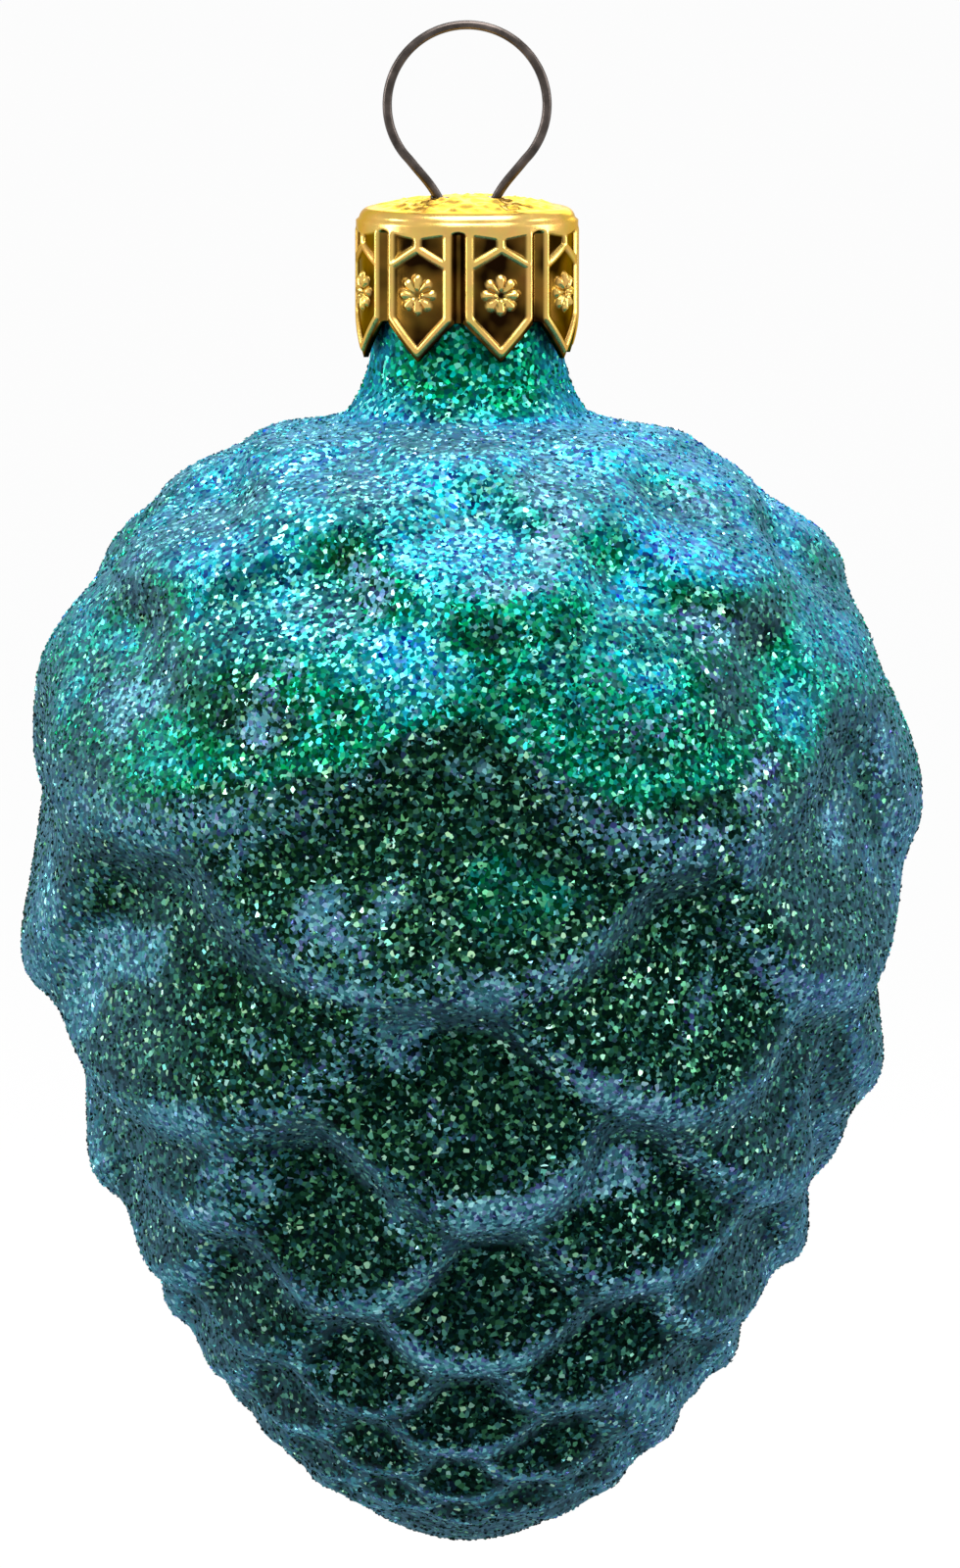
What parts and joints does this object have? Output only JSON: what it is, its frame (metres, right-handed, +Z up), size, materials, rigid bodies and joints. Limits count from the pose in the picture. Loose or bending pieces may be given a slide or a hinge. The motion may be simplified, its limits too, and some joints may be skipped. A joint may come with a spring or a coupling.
{
  "type": "glass pine cone ornament",
  "caption": "Hollow glass pine cone with overlapping scales, a neck closed by a gilt crown cap, and a spring wire hanger that ends in a ring for a hook or thread.",
  "frame": {"origin": "the point inside the top of the wire ring where a hook or a thread carries the ornament", "axes": "+Z up along the neck, away from the cone's tip; the ring lies in the XZ plane; the front of the ornament faces -Y"},
  "size_m": [0.0527, 0.053, 0.0891],
  "materials": {
    "hanger_wire": "drawn spring steel wire, dark grey, lightly polished",
    "crown_cap": "bright gilt sheet, stamped with raised hexagons and flowers, pebbled on top",
    "glass_cone": "silvered inside, lacquered, and covered outside in fine teal, green and blue glitter, so it lets no light through"
  },
  "bodies": {
    "hanger": {"hanger_wire": "hanger_wire"},
    "cap": {"crown_cap": "crown_cap"},
    "cone": {"glass_cone": "glass_cone"}
  },
  "joints": [
    {"name": "cap_rock", "type": "hinge", "parent": "hanger", "child": "cap", "pos_m": [0, 0, -0.00992], "axis": [1, 0, 0], "range_deg": [-8, 8]},
    {"name": "glass_pull", "type": "slide", "parent": "cap", "child": "cone", "axis": [0, 0, -1], "range_m": [0, 0.015]}
  ]
}
